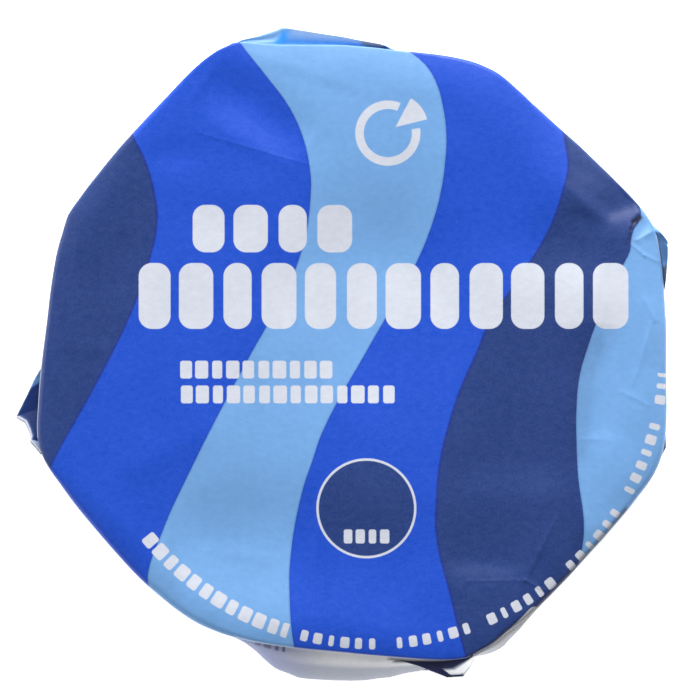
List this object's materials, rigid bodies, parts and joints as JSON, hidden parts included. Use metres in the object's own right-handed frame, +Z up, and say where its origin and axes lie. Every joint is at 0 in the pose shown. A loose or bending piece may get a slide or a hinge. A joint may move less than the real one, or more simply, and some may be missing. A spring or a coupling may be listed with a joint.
{
  "type": "paper-wrapped camembert",
  "caption": "Small round soft cheese shut in striped blue printed paper, folded over an eight-sided edge, pleated down the wall and gathered underneath.",
  "frame": {"origin": "middle of the round label on the underside", "axes": "+Z up through the wheel, towards the printed face; +Y towards the top of the face as it is read, +X to its right"},
  "size_m": [0.0887, 0.0877, 0.0254],
  "materials": {
    "printed_paper": "thin coated wrapping paper with a satin sheen, printed with wavy stripes in navy, royal and light blue",
    "plain_paper": "the same paper where it is left white: its back, its cut edges and its unprinted fields"
  },
  "bodies": {
    "root": {"wrapped_camembert": "printed_paper"}
  },
  "joints": []
}
